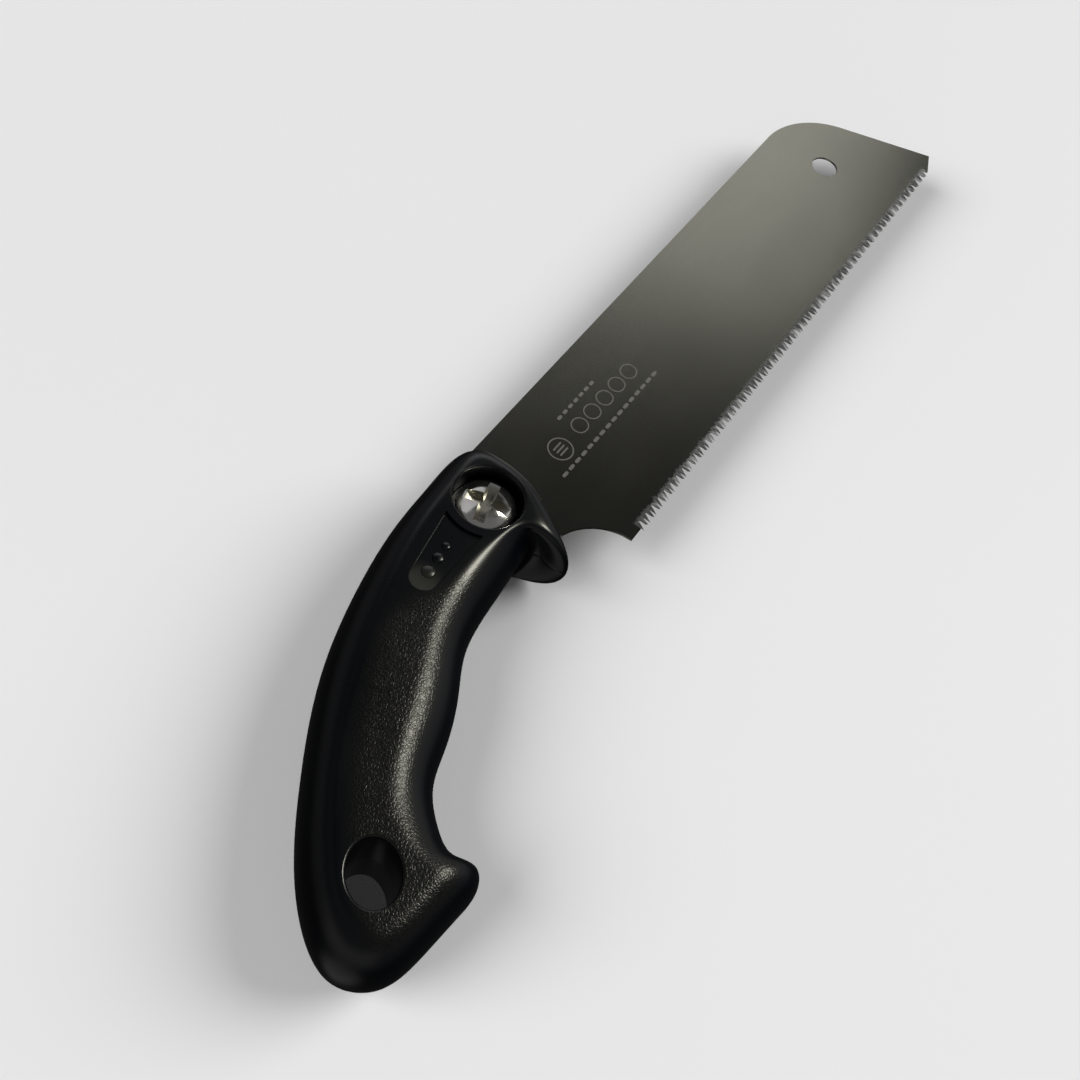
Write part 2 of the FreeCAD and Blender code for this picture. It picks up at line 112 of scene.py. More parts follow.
# ---- handle ----
RIM_OUTLINE = [             # widest outline, on the middle plane, from the nose along the back
    (-11.4, 36.0), (-12.8, 41.8), (-17.2, 45.1), (-28.0, 45.4), (-42.0, 44.5), (-60.0, 41.0),
    (-80.4, 34.1), (-100.8, 22.7), (-117.1, 10.6), (-126.0, -0.5), (-127.5, -8.2), (-122.8, -15.3),
    (-113.0, -18.0), (-103.0, -19.0), (-97.0, -19.0), (-93.6, -16.4), (-94.6, -11.6), (-92.0, -5.8),
    (-85.4, 0.5), (-75.6, 4.1), (-65.3, 8.6), (-56.5, 13.3), (-46.0, 15.8), (-32.5, 17.2),
    (-23.8, 17.0), (-24.0, 11.5), (-23.0, 7.9), (-20.3, 10.7), (-16.5, 17.0), (-12.2, 26.5),
]
FACE_OUTLINE = [            # edge of the flat side, point for point inside the rim outline
    (-17.5, 35.0), (-18.5, 38.0), (-21.0, 39.0), (-29.0, 38.5), (-43.0, 37.0), (-61.0, 32.5),
    (-78.0, 26.0), (-95.0, 18.0), (-109.0, 8.0), (-117.0, 0.0), (-118.5, -5.5), (-117.0, -9.0),
    (-111.0, -10.5), (-107.0, -10.8), (-104.0, -10.8), (-103.0, -9.3), (-102.8, -5.3), (-100.3, 1.2),
    (-94.4, 7.2), (-82.9, 13.1), (-71.9, 17.5), (-61.8, 22.0), (-49.3, 24.6), (-38.0, 24.4),
    (-29.8, 23.0), (-25.8, 22.0), (-23.8, 20.5), (-21.6, 21.5), (-19.3, 24.5), (-17.8, 29.0),
]
SAMPLES_PER_SPAN = 12
SHOULDER_RINGS = 20
GRAIN_EDGE = (-48, 24)      # where the leather grain begins behind the nose
GRAIN_EDGE_SLANT = 2.2
BACK_BOW = [(-28.0, 45.4), (-80.4, 34.1), (-126.0, -0.5)]   # the back's long curve, nose to tail
SEAM_DEPTH = 0.18           # groove where the two shells meet
SEAM_HALF_WIDTH = 0.14
HANG_SLOT_HALF_LENGTH = 6.6
HANG_SLOT_HALF_WIDTH = 5.0
HANG_SLOT_DRAFT = 0.4
HANG_SLOT_LIP = 0.7
HANG_SLOT_ANGLE_DEG = 38.7
HANG_SLOT_POINTS = 72
LIP_STEPS = 8               # rings round the lip of a hole
LIP_STEP_DEG = 10.0
COUNTERBORE_RADIUS = 8.4
COUNTERBORE_FLOOR = 5.1
COUNTERBORE_LIP = 0.5
SCREW_HOLE_RADIUS = 3.3
BORE_CORNER = 0.2           # bevel where a hole's floor meets its wall
BORE_SEGMENTS = 48
PANEL_DEPTH = 0.7
PANEL_TIP_DEPTH = 0.12      # the floor rises towards the rounded end
PANEL_SLOPE_END_X = -49.0
PANEL_END_CENTRE = (-52.4, 29.6)
PANEL_END_RADIUS = 3.3
PANEL_END_DEG = (262, 103)  # the round end, from its lower side to its upper side
PANEL_ARC_RADIUS = 10.8     # hollow end, round the screw
PANEL_ARC_DEG = (153, 208)
PANEL_SPAN_Y = (20.0, 40.0)
PANEL_EDGE = 0.06           # bevel at the panel's mouth
PANEL_SLOPE_STEPS = 8
# painted sheen: the panel's rounded end is painted paler, in place of light that its sloping floor
# reflects
PANEL_PAINTED_SHEEN_SPOT = (-53.8, 29.4)                 # paler end of the panel
PANEL_DOTS = [(-50.5, 29.8, 1.5), (-46.2, 30.3, 1.2), (-42.6, 30.7, 0.9)]
PANEL_DOT_HEIGHT = 0.35
SHELL_SCREW_PLACES = [(-52.0, 29.0), (-75.0, 19.5), (-95.5, 9.5), (-119.5, -8.0)]
SHELL_SCREW_THREAD_RADIUS = 1.47
SHELL_SCREW_THREAD_TOP = 7.3
SHELL_SCREW_HOLE_RADIUS = 1.65
SHELL_SCREW_WELL_RADIUS = 3.1
SHELL_SCREW_WELL_FLOOR = -8.5
SHELL_SCREW_WELL_LIP = 0.3
NUT_POCKET_ACROSS_FLATS = 10.2
NUT_POCKET_LIP = 0.3
NUT_SEAT_Z = -4.0
TANG_POCKET = [
    (-46.2, 21.3), (-46.2, 40.7), (-18.7, 40.7), (-18.7, 44.5), (0.0, 44.5), (0.0, 0.0),
    (-15.2, 13.5), (-15.2, 14.1), (-18.2, 21.3),
]
TANG_POCKET_HALF_DEPTH = 0.35
PLATE_POCKET = [(-45.2, 20.8), (-16.8, 20.8), (-16.8, 41.2), (-45.2, 41.2)]
PLATE_POCKET_LOW = 0.25
PLATE_POCKET_HIGH = 1.55
PIN_X = -40.0
PIN_HOLE_RADIUS = 3.02
PIN_HOLE_DEPTH = 5.6

# ---- blade ----
TOOTHED_LENGTH = 175.0
TOOTH_COUNT = 117
TOOTH_DEPTH = 2.3
TOOTH_LEAN = 0.45
GULLET_FLAT = 0.3
FLEAM_INSET = 0.17          # how far a filed flank leans in across the blade's thickness
FLEAM_DROP = 0.62
TOOTH_SET = 0.14            # tips bend this far to alternate sides
HEEL_WIDTH = 44.3
TOE_WIDTH = 45.2
TOE_STEP = (175.4, 0.6)
TOE_CORNER = (182.3, 3.3)
TOE_RAKE_DEG = 23.2
TOE_CORNER_RADIUS = 24.6
HANG_HOLE_RADIUS = 4.0
HEEL_CURVE = [(-15.0, 14.3), (-8.2, 9.9), (-4.9, 3.2)]      # neck, middle, end
HEEL_EDGE = [(-4.6, 0.8), (0.0, 0.8)]                       # plain edge behind the first tooth
TANG_END_X = -46.0
TANG_HALF_WIDTH = 9.5
TANG_SLOT_HALF_WIDTH = 3.2
NECK_TOP_X = -18.5
NECK_LOW_X = -18.0

# ---- clamp screw ----
SHANK_RADIUS = 3.0
THREAD_DEPTH = 0.5
THREAD_PITCH = 1.0
THREAD_TIP_TAPER = 0.6
THREAD_TAPER_LENGTH = 0.8
THREAD_END_GAP = 1.5        # plain shank between the thread and the head
RINGS_PER_PITCH = 8
SCREW_SEGMENTS = 96
SCREW_TIP_Z = -10.0
NECK_RADIUS = 2.95
NECK_HEIGHT = 1.0
NECK_BEVEL = (0.25, 0.2)    # width and height
HEAD_SEAT_Z = 7.6
HEAD_RADIUS = 7.1
HEAD_CORNER = 0.3
HEAD_RIM_HEIGHT = 0.8
HEAD_DOME_HEIGHT = 2.2
HEAD_DOME_STEPS = 24
HEAD_RIM_BEVEL = (0.12, 0.15)
HEAD_RIM_Z = HEAD_SEAT_Z + HEAD_RIM_HEIGHT
HEAD_TOP_Z = HEAD_RIM_Z + HEAD_DOME_HEIGHT
HEAD_BALL_RADIUS = (HEAD_RADIUS ** 2 + HEAD_DOME_HEIGHT ** 2) / (2 * HEAD_DOME_HEIGHT)
CROSS_TURN_DEG = 14.0
# half length, half width and height over the head's top, at three levels of the cross recess
CROSS_LEVELS = [(7.6, 1.7, 0.8), (5.7, 1.3, -1.35), (3.4, 0.9, -2.7)]

# ---- plain marks on the blade ----
MARK_HEIGHT = 0.012
MARK_ROOT = 0.05            # how far a mark reaches into the steel
BADGE_CENTRE = (5.5, 28.5)
BADGE_RADII = (3.4, 3.05)
BADGE_POINTS = 48
BADGE_BAR_LIFTS = (-1.1, 0, 1.1)
BADGE_BAR = (3.4, 0.45)     # length and height
# count, first x, step, y and length of the dashes in each row
DASH_ROWS = [(16, -1.0, 2.85, 23.4, 2.1), (7, 12.5, 2.5, 34.0, 1.7)]
DASH_HEIGHT = 0.9
OVAL_COUNT = 5
OVAL_STEP = 5.9
OVAL_START = (12.5, 28.9)
OVAL_SIZE = (5.0, 4.6)
OVAL_LINE = 0.3

# ---- room and lights, in metres ----
FLOOR_REACH = 20.0
FLOOR_GAP = 0.0002          # between the saw and the floor
FLOOR_SUN_LEAN = (0.75, -0.65, 0.75)
FLOOR_SUN_ANGLE_DEG = 40
WINDOW_DIRECTION = (0.742, 0.446, 0.50)
HANDLE_LAMP_DIRECTION = (0.48, -0.35, 0.80)
HANDLE_LAMP_COLOUR = (1.0, 0.98, 0.84)
SCREW_CARD_DIRECTION = (0.3, 0.75, 0.6)
HANDLE_LAMP_BODIES = ("handle", "clamp_screw")
SCREEN_DIRECTION = Vector((0.56, 0.12, 0.82)).normalized()
PALE_PATCH_DIRECTION = Vector((-0.80, -0.05, -0.60)).normalized()
OVERHEAD_STRENGTH = 0.11
HORIZON_STRENGTH = 0.28

# ---- camera ----
CAMERA_POINT = (-190.7, -26.5, 260.9)
CAMERA_TURN_DEG = (31.88, -12.84, -55.86)
CAMERA_LENS = 44.85


# ================================================================ mesh helpers

def new_piece(name, points, faces):
    """A mesh object from points in metres, its faces turned outwards."""
    mesh = bpy.data.meshes.new(name)
    mesh.from_pydata([tuple(p) for p in points], [], faces)
    piece = bpy.data.objects.new(name, mesh)
    bpy.context.scene.collection.objects.link(piece)
    turn_outwards(piece)
    shade(piece)
    return piece


def turn_outwards(piece):
    """Turns all faces of the mesh to the outside."""
    work = bmesh.new()
    work.from_mesh(piece.data)
    bmesh.ops.recalc_face_normals(work, faces=work.faces)
    work.to_mesh(piece.data)
    work.free()


def shade(piece):
    """Smooth shading, with a sharp line along each edge that bends by more than SMOOTH_ANGLE_DEG."""
    limit = math.radians(SMOOTH_ANGLE_DEG)
    work = bmesh.new()
    work.from_mesh(piece.data)
    for face in work.faces:
        face.smooth = True
    for edge in work.edges:
        edge.smooth = len(edge.link_faces) == 2 and edge.calc_face_angle() < limit
    work.to_mesh(piece.data)
    work.free()


def loft(name, rings):
    """A closed skin through rings that all have the same number of points."""
    count = len(rings[0])
    points = [point for ring in rings for point in ring]
    faces = []
    for level in range(len(rings) - 1):
        low = level * count
        high = low + count
        for i in range(count):
            j = (i + 1) % count
            faces.append((low + i, low + j, high + j, high + i))
    last = (len(rings) - 1) * count
    faces.append(tuple(range(count)))
    faces.append(tuple(range(last, last + count)))
    return new_piece(name, points, faces)


def circle(centre, radius, z, segments):
    """A level ring of points."""
    ring = []
    for i in range(segments):
        turn = 2 * math.pi * i / segments
        x = centre[0] + radius * math.cos(turn)
        y = centre[1] + radius * math.sin(turn)
        ring.append(place(x, y, z))
    return ring


def lathe(name, centre, profile, segments=96):
    """A turned solid from (radius, z) pairs."""
    return loft(name, [circle(centre, radius, z, segments) for radius, z in profile])


def prism(name, outline, low, high):
    """A straight-sided solid from an outline and two heights."""
    return loft(name, [[place(x, y, z) for x, y in outline] for z in (low, high)])


def flared(name, outline, levels):
    """A solid from one outline, grown by its own amount at each height: (amount, z) pairs."""
    return loft(name, [[place(x, y, z) for x, y in grown(outline, amount)] for amount, z in levels])


def carve(piece, cutters):
    """Cuts the cutters out of the piece and removes them."""
    for cutter in cutters:
        step = piece.modifiers.new("cut", "BOOLEAN")
        step.operation = "DIFFERENCE"
        step.solver = "EXACT"
        step.object = cutter
    bpy.context.view_layer.update()
    evaluated = piece.evaluated_get(bpy.context.evaluated_depsgraph_get())
    mesh = bpy.data.meshes.new_from_object(evaluated)
    piece.modifiers.clear()
    piece.data = mesh
    for cutter in cutters:
        bpy.data.objects.remove(cutter)
    shade(piece)
    return piece


def join(name, pieces):
    """One object from several meshes."""
    points = []
    faces = []
    for piece in pieces:
        start = len(points)
        points += [vertex.co.copy() for vertex in piece.data.vertices]
        faces += [tuple(start + i for i in face.vertices) for face in piece.data.polygons]
        bpy.data.objects.remove(piece)
    return new_piece(name, points, faces)


def polar(centre, radius, degrees):
    """A point on a circle."""
    turn = math.radians(degrees)
    return (centre[0] + radius * math.cos(turn), centre[1] + radius * math.sin(turn))


def sweep(centre, radius, start_deg, end_deg, steps):
    """Points along a round stretch, both ends included."""
    reach = end_deg - start_deg
    return [polar(centre, radius, start_deg + reach * i / steps) for i in range(steps + 1)]


def circle_through(first, middle, last):
    """Centre, radius, and start and end angle in degrees, of the short arc through three points."""
    (ax, ay), (bx, by), (cx, cy) = first, middle, last
    twice = 2 * (ax * (by - cy) + bx * (cy - ay) + cx * (ay - by))
    a2 = ax ** 2 + ay ** 2
    b2 = bx ** 2 + by ** 2
    c2 = cx ** 2 + cy ** 2
    x = (a2 * (by - cy) + b2 * (cy - ay) + c2 * (ay - by)) / twice
    y = (a2 * (cx - bx) + b2 * (ax - cx) + c2 * (bx - ax)) / twice
    start = math.degrees(math.atan2(ay - y, ax - x))
    end = math.degrees(math.atan2(cy - y, cx - x))
    if end - start > 180:
        end -= 360
    if start - end > 180:
        end += 360
    return (x, y), math.dist((x, y), first), start, end


def mix(first, second, share):
    """A point between two others."""
    return tuple(a + (b - a) * share for a, b in zip(first, second))


def grown(outline, amount):
    """The outline moved outwards, each point along the mean direction of its two edges."""
    count = len(outline)
    area = 0
    for i in range(count):
        area += outline[i - 1][0] * outline[i][1] - outline[i][0] * outline[i - 1][1]
    sign = math.copysign(1, area)
    result = []
    for i in range(count):
        before = Vector(outline[i]) - Vector(outline[i - 1])
        after = Vector(outline[(i + 1) % count]) - Vector(outline[i])
        along = before.normalized() + after.normalized()
        out = Vector((along.y, -along.x)).normalized() * sign * amount
        result.append((outline[i][0] + out.x, outline[i][1] + out.y))
    return result


# ================================================================ handle

def smooth_loop(points):
    """The closed cubic curve through the points, without breaks in slope or curvature.

    Both outlines use the rim's spans, so that their samples stay point for point.
    """
    count = len(points)
    values = np.array(points)
    following_rim = RIM_OUTLINE[1:] + RIM_OUTLINE[:1]
    spans = [math.sqrt(math.dist(a, b)) for a, b in zip(RIM_OUTLINE, following_rim)]
    matrix = np.zeros((count, count))
    right = np.zeros((count, 2))
    for i in range(count):
        before = spans[i - 1]
        after = spans[i]
        following = (i + 1) % count
        matrix[i, i - 1] = 1 / before
        matrix[i, i] = 2 / before + 2 / after
        matrix[i, following] = 1 / after
        rise_before = (values[i] - values[i - 1]) / before ** 2
        rise_after = (values[following] - values[i]) / after ** 2
        right[i] = 3 * (rise_before + rise_after)
    slopes = np.linalg.solve(matrix, right)
    samples = []
    for i in range(count):
        following = (i + 1) % count
        for step in range(SAMPLES_PER_SPAN):
            s = step / SAMPLES_PER_SPAN
            start = (2 * s ** 3 - 3 * s ** 2 + 1) * values[i]
            leave = (s ** 3 - 2 * s ** 2 + s) * spans[i] * slopes[i]
            end = (3 * s ** 2 - 2 * s ** 3) * values[following]
            arrive = (s ** 3 - s ** 2) * spans[i] * slopes[following]
            samples.append(tuple(start + leave + end + arrive))
    return samples


def half_handle(name, side):
    """The outer form of one shell, solid, from the seam to its flat side."""
    rim = smooth_loop(RIM_OUTLINE)
    face = smooth_loop(FACE_OUTLINE)
    seam = [mix(r, f, SEAM_DEPTH / math.dist(r, f)) for r, f in zip(rim, face)]
    rings = [[place(x, y, 0) for x, y in seam]]
    start = math.asin(SEAM_HALF_WIDTH / HALF_HANDLE)
    for step in range(SHOULDER_RINGS + 1):
        turn = start + (math.pi / 2 - start) * step / SHOULDER_RINGS
        z = side * HALF_HANDLE * math.sin(turn)
        rings.append([place(*mix(f, r, math.cos(turn)), z) for r, f in zip(rim, face)])
    return loft(name, rings)


def slot_ring(grow, z):
    """A level ring of the oval hang slot, grown outwards by an amount."""
    ring = []
    tilt = math.radians(HANG_SLOT_ANGLE_DEG)
    for i in range(HANG_SLOT_POINTS):
        turn = 2 * math.pi * i / HANG_SLOT_POINTS
        along = (HANG_SLOT_HALF_LENGTH + grow) * math.cos(turn)
        across = (HANG_SLOT_HALF_WIDTH + grow) * math.sin(turn)
        x = HANG_SLOT_CENTRE[0] + along * math.cos(tilt) - across * math.sin(tilt)
        y = HANG_SLOT_CENTRE[1] + along * math.sin(tilt) + across * math.cos(tilt)
        ring.append(place(x, y, z))
    return ring


def hang_slot(side):
    """Cutter for the through hole: it widens towards the flat side and ends in a rounded lip."""
    lip_start = HALF_HANDLE - HANG_SLOT_LIP
    rings = [slot_ring(0, -side), slot_ring(0, 0)]
    for step in range(LIP_STEPS + 1):
        turn = math.radians(LIP_STEP_DEG * step)
        grow = HANG_SLOT_DRAFT + HANG_SLOT_LIP * (1 - math.cos(turn))
        rings.append(slot_ring(grow, side * (lip_start + HANG_SLOT_LIP * math.sin(turn))))
    rings.append(slot_ring(HANG_SLOT_DRAFT + HANG_SLOT_LIP, side * (HALF_HANDLE + 1)))
    return loft("slot", rings)


def rounded_bore(centre, radius, floor, mouth, lip):
    """Cutter for a flat-bottomed hole with a rounded lip at its mouth, on either side."""
    side = math.copysign(1, mouth - floor)
    profile = [(radius - BORE_CORNER, floor), (radius, floor + BORE_CORNER * side)]
    for step in range(LIP_STEPS + 1):
        turn = math.radians(LIP_STEP_DEG * step)
        z = mouth - side * lip * (1 - math.sin(turn))
        profile.append((radius + lip * (1 - math.cos(turn)), z))
    profile.append((radius + lip, mouth + side))
    return lathe("bore", centre, profile)


def bore(centre, radius, low, high):
    """Cutter for a plain round hole."""
    return lathe("bore", centre, [(radius, low), (radius, high)], BORE_SEGMENTS)


def panel_recess():
    """Cutter for the teardrop panel, with a soft mouth and three raised dots left standing."""
    outline = sweep(SCREW_AXIS, PANEL_ARC_RADIUS, *PANEL_ARC_DEG, 24)
    outline += sweep(PANEL_END_CENTRE, PANEL_END_RADIUS, *PANEL_END_DEG, 32)
    floor = HALF_HANDLE - PANEL_DEPTH
    levels = [(0, floor), (0, HALF_HANDLE - 2 * PANEL_EDGE)]
    levels += [(PANEL_EDGE, HALF_HANDLE), (PANEL_EDGE, HALF_HANDLE + 1)]
    cutter = flared("panel", outline, levels)
    tip_x = PANEL_END_CENTRE[0] - PANEL_END_RADIUS
    tip_floor = HALF_HANDLE - PANEL_TIP_DEPTH
    wedge_side = [(tip_x - 1, tip_floor), (tip_x, tip_floor)]
    for step in range(1, PANEL_SLOPE_STEPS + 1):
        share = step / PANEL_SLOPE_STEPS
        depth = PANEL_TIP_DEPTH + (PANEL_DEPTH - PANEL_TIP_DEPTH) * math.sin(share * math.pi / 2)
        wedge_side.append((tip_x + (PANEL_SLOPE_END_X - tip_x) * share, HALF_HANDLE - depth))
    wedge_side += [(PANEL_SLOPE_END_X, floor - 1), (tip_x - 1, floor - 1)]
    wedge = loft("wedge", [[place(x, y, z) for x, z in wedge_side] for y in PANEL_SPAN_Y])
    carve(cutter, [wedge])
    dots = []
    for x, y, radius in PANEL_DOTS:
        top = floor + PANEL_DOT_HEIGHT
        profile = [(radius + 0.1, floor - 1), (radius + 0.1, floor)]
        profile += [(radius, top - 0.1), (radius - 0.15, top)]
        dots.append(lathe("dot", (x, y), profile, 40))
    return carve(cutter, dots)


def clamp_pockets(side):
    """Cutters for the tang, one clamp plate, the screw's hole and the locating pin."""
    return [
        prism("tang", TANG_POCKET, -side, side * TANG_POCKET_HALF_DEPTH),
        prism("plate", PLATE_POCKET, side * PLATE_POCKET_LOW, side * PLATE_POCKET_HIGH),
        bore(SCREW_AXIS, SCREW_HOLE_RADIUS, -side, side * (HALF_HANDLE + 1)),
        bore((PIN_X, SCREW_AXIS[1]), PIN_HOLE_RADIUS, -side, side * PIN_HOLE_DEPTH),
    ]


def front_shell():
    """The shell with the screw's counterbore and the panel, and holes for the screws' threads."""
    shell = half_handle("front_shell_moulding", 1)
    cutters = clamp_pockets(1)
    cutters.append(hang_slot(1))
    seat = (COUNTERBORE_RADIUS, COUNTERBORE_FLOOR, HALF_HANDLE, COUNTERBORE_LIP)
    cutters.append(rounded_bore(SCREW_AXIS, *seat))
    cutters.append(panel_recess())
    for spot in SHELL_SCREW_PLACES:
        cutters.append(bore(spot, SHELL_SCREW_THREAD_RADIUS, -1, SHELL_SCREW_THREAD_TOP))
    return carve(shell, cutters)


def rear_shell():
    """The shell with the nut's pocket and wells for the heads of the four shell screws."""
    shell = half_handle("rear_shell_moulding", -1)
    bottom = -HALF_HANDLE
    cutters = clamp_pockets(-1)
    cutters.append(hang_slot(-1))
    corner = NUT_POCKET_ACROSS_FLATS / math.sqrt(3)
    hexagon = [polar(SCREW_AXIS, corner, 60 * turn) for turn in range(6)]
    levels = [(0, NUT_SEAT_Z), (0, bottom + NUT_POCKET_LIP)]
    levels += [(NUT_POCKET_LIP, bottom), (NUT_POCKET_LIP, bottom - 1)]
    cutters.append(flared("nut_pocket", hexagon, levels))
    well = (SHELL_SCREW_WELL_RADIUS, SHELL_SCREW_WELL_FLOOR, bottom, SHELL_SCREW_WELL_LIP)
    for spot in SHELL_SCREW_PLACES:
        cutters.append(bore(spot, SHELL_SCREW_HOLE_RADIUS, bottom - 1, 1))
        cutters.append(rounded_bore(spot, *well))
    return carve(shell, cutters)


# ================================================================ blade

def toe_outline():
    """From the last tooth round the toe to the spine."""
    rake = math.radians(TOE_RAKE_DEG)
    rise = TOE_WIDTH - TOE_CORNER[1]
    meeting_x = TOE_CORNER[0] - rise * math.tan(rake)
    reach = TOE_CORNER_RADIUS * math.tan((math.pi / 2 - rake) / 2)
    centre = (meeting_x - reach, TOE_WIDTH - TOE_CORNER_RADIUS)
    return [TOE_STEP, TOE_CORNER] + sweep(centre, TOE_CORNER_RADIUS, TOE_RAKE_DEG, 90, 24)


def tang_outline():
    """From the spine round the tang, with its open slot, to the neck."""
    y = SCREW_AXIS[1]
    top = y + TANG_HALF_WIDTH
    low = y - TANG_HALF_WIDTH
    outline = [(NECK_TOP_X, HEEL_WIDTH), (NECK_TOP_X, top), (TANG_END_X, top)]
    outline.append((TANG_END_X, y + TANG_SLOT_HALF_WIDTH))
    outline += sweep(SCREW_AXIS, TANG_SLOT_HALF_WIDTH, 90, -90, 16)
    outline.append((TANG_END_X, y - TANG_SLOT_HALF_WIDTH))
    outline += [(TANG_END_X, low), (NECK_LOW_X, low)]
    return outline


def heel_outline():
    """Concave curve from the neck down to the heel, and the plain edge behind the first tooth."""
    centre, radius, start, end = circle_through(*HEEL_CURVE)
    return sweep(centre, radius, start, end, 14) + HEEL_EDGE


def teeth_outline(side):
    """Teeth as one face of the blade shows them: every second tooth is filed from this side."""
    pitch = TOOTHED_LENGTH / TOOTH_COUNT
    points = []
    for index in range(TOOTH_COUNT):
        filed = index % 2 == (0 if side > 0 else 1)
        inset = FLEAM_INSET if filed else 0
        drop = FLEAM_DROP if filed else 0
        gullet = index * pitch
        tip_z = side * HALF_BLADE + TOOTH_SET * (1 if index % 2 else -1)
        points.append((gullet + GULLET_FLAT / 2 + inset, TOOTH_DEPTH, side * HALF_BLADE))
        points.append((gullet + pitch / 2 - TOOTH_LEAN, drop, tip_z))
        points.append((gullet + pitch - GULLET_FLAT / 2 - inset, TOOTH_DEPTH, side * HALF_BLADE))
    return points


def blade():
    """The steel blade, with its hang hole."""
    outline = toe_outline() + tang_outline() + heel_outline()
    rings = []
    for side in (-1, 1):
        teeth = [place(x, y, z) for x, y, z in teeth_outline(side)]
        rings.append(teeth + [place(x, y, side * HALF_BLADE) for x, y in outline])
    body = loft("steel_blade", rings)
    cutter = lathe("hole", HANG_HOLE_CENTRE, [(HANG_HOLE_RADIUS, -1), (HANG_HOLE_RADIUS, 1)], 64)
    return carve(body, [cutter])


# ================================================================ clamp screw

def thread_ring(z, segments):
    """A ring of the threaded shank: the crest climbs one pitch in one turn."""
    ring = []
    for i in range(segments):
        turn = i / segments
        phase = (z / THREAD_PITCH - turn) % 1
        crest = 1 - abs(2 * phase - 1)
        taper = min(1, (z - SCREW_TIP_Z) / THREAD_TAPER_LENGTH)
        radius = SHANK_RADIUS - THREAD_DEPTH * (1 - crest) - THREAD_TIP_TAPER * (1 - taper)
        angle = 2 * math.pi * turn
        x = SCREW_AXIS[0] + radius * math.cos(angle)
        y = SCREW_AXIS[1] + radius * math.sin(angle)
        ring.append(place(x, y, z))
    return ring


def cross_bar(turn_deg):
    """Cutter for one bar of the driver recess, narrower and shorter at its bottom."""
    turn = Matrix.Rotation(math.radians(turn_deg), 2)
    rings = []
    for half_length, half_width, lift in CROSS_LEVELS:
        ring = []
        for along, across in ((1, 1), (-1, 1), (-1, -1), (1, -1)):
            corner = turn @ Vector((half_length * along, half_width * across))
            x = SCREW_AXIS[0] + corner.x
            y = SCREW_AXIS[1] + corner.y
            ring.append(place(x, y, HEAD_TOP_Z + lift))
        rings.append(ring)
    return loft("bar", rings)


def head_profile():
    """The plain neck, the head's rounded lower corner, its rim and its dome."""
    neck_z = HEAD_SEAT_Z - NECK_HEIGHT
    profile = [(NECK_RADIUS - NECK_BEVEL[0], neck_z - NECK_BEVEL[1]), (NECK_RADIUS, neck_z)]
    profile += [(NECK_RADIUS, HEAD_SEAT_Z), (HEAD_RADIUS - HEAD_CORNER, HEAD_SEAT_Z)]
    for angle in (0.5, 1.0, 1.57):
        radius = HEAD_RADIUS - HEAD_CORNER + HEAD_CORNER * math.sin(angle)
        profile.append((radius, HEAD_SEAT_Z + HEAD_CORNER - HEAD_CORNER * math.cos(angle)))
    profile.append((HEAD_RADIUS, HEAD_RIM_Z - HEAD_RIM_BEVEL[1]))
    for step in range(HEAD_DOME_STEPS):
        radius = (HEAD_RADIUS - HEAD_RIM_BEVEL[0]) * (1 - step / HEAD_DOME_STEPS)
        rise = math.sqrt(HEAD_BALL_RADIUS ** 2 - radius ** 2)
        profile.append((radius, HEAD_TOP_Z - HEAD_BALL_RADIUS + rise))
    return profile


def clamp_screw():
    """The threaded shank and the domed head with its cross recess."""
    thread_length = HEAD_SEAT_Z - THREAD_END_GAP - SCREW_TIP_Z
    steps = round(thread_length / THREAD_PITCH * RINGS_PER_PITCH)
    rings = []
    for step in range(steps + 1):
        z = SCREW_TIP_Z + step * THREAD_PITCH / RINGS_PER_PITCH
        rings.append(thread_ring(z, SCREW_SEGMENTS))
    rings += [circle(SCREW_AXIS, radius, z, SCREW_SEGMENTS) for radius, z in head_profile()]
    screw = loft("clamp_screw_chromed", rings)
    return carve(screw, [cross_bar(CROSS_TURN_DEG + turn) for turn in (0, 90)])


# ================================================================ plain marks on the blade

def bar_outline(x, y, length, height):
    """A bar with round ends, from its left end, as an outline."""
    radius = height / 2
    right_end = sweep((x + length - radius, y), radius, -90, 90, 8)
    return right_end + sweep((x + radius, y), radius, 90, 270, 8)


def mark(outline):
    """A thin raised mark on the blade's front side."""
    return prism("mark", outline, HALF_BLADE - MARK_ROOT, HALF_BLADE + MARK_HEIGHT)


def ring_mark(outer, inner):
    """The area between two outlines."""
    hole = prism("inside", inner, HALF_BLADE - 1, HALF_BLADE + 1)
    return carve(mark(outer), [hole])


def blade_marks():
    """A round badge with three bars, two rows of dashes and a row of outlined ovals."""
    last_deg = 360 - 360 / BADGE_POINTS
    rings = [sweep(BADGE_CENTRE, radius, 0, last_deg, BADGE_POINTS - 1) for radius in BADGE_RADII]
    pieces = [ring_mark(*rings)]
    x, y = BADGE_CENTRE
    length, height = BADGE_BAR
    for lift in BADGE_BAR_LIFTS:
        pieces.append(mark(bar_outline(x - length / 2, y + lift, length, height)))
    for count, first_x, step, row_y, dash_length in DASH_ROWS:
        for i in range(count):
            dash = bar_outline(first_x + step * i, row_y, dash_length, DASH_HEIGHT)
            pieces.append(mark(dash))
    inner_size = [measure - 2 * OVAL_LINE for measure in OVAL_SIZE]
    x, y = OVAL_START
    for i in range(OVAL_COUNT):
        outer = bar_outline(x + OVAL_STEP * i, y, *OVAL_SIZE)
        inner = bar_outline(x + OVAL_STEP * i + OVAL_LINE, y, *inner_size)
        pieces.append(ring_mark(outer, inner))
    return join("blade_marks", pieces)


# ================================================================ materials

